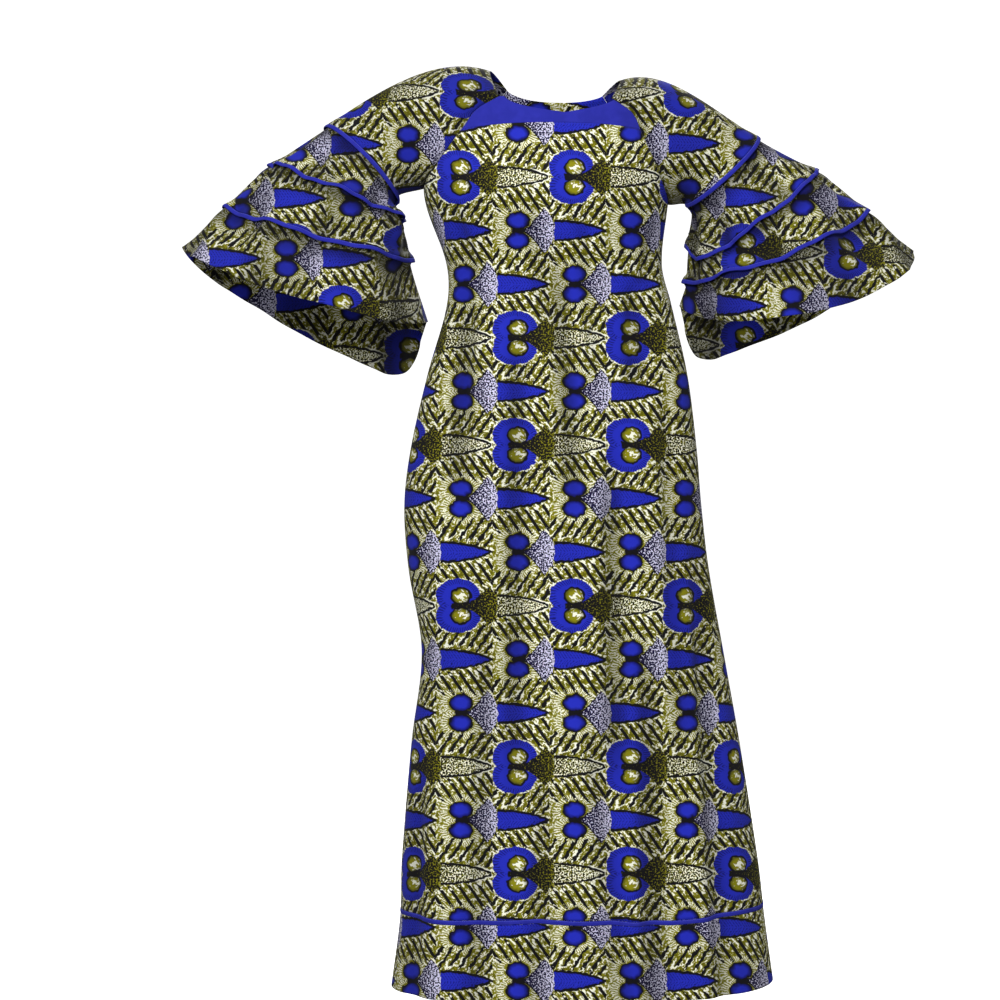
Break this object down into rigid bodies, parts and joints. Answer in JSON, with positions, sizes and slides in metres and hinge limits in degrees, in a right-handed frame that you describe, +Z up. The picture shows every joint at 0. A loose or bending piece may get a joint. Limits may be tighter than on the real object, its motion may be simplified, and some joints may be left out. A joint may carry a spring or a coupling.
{
  "type": "african print maxi dress",
  "caption": "Floor-length fitted wax-print dress with a plain sweetheart yoke, raglan sleeves of tiered flounces with contrast binding, and a piped hem flounce.",
  "frame": {"origin": "midway between the two points where the neckline meets the shoulders, at their height, where the wearer's shoulders hold the dress up", "axes": "+Z up along the dress from hem to neckline; -Y the way the dress faces; +X towards the wearer's left arm"},
  "size_m": [1.0989, 0.395, 1.3774],
  "materials": {
    "wax_print": "plain-woven cotton with a wax print in olive, cream, black and royal blue, slightly crisp and matt",
    "plain_blue": "plain-woven cotton in one royal blue, slightly crisp and matt"
  },
  "bodies": {
    "root": {"front_panel": "wax_print", "back_panel": "wax_print", "yoke": "plain_blue", "sleeve_cap_right": "wax_print", "sleeve_cap_left": "wax_print", "flounce_1_right": "wax_print", "flounce_1_left": "wax_print", "flounce_2_right": "wax_print", "flounce_2_left": "wax_print", "flounce_3_right": "wax_print", "flounce_3_left": "wax_print", "sleeve_cap_right_binding": "plain_blue", "sleeve_cap_left_binding": "plain_blue", "flounce_1_right_binding": "plain_blue", "flounce_1_left_binding": "plain_blue", "flounce_2_right_binding": "plain_blue", "flounce_2_left_binding": "plain_blue", "hem_piping_front": "plain_blue", "hem_piping_back": "plain_blue", "hem_flounce_front": "wax_print", "hem_flounce_back": "wax_print"}
  },
  "joints": []
}
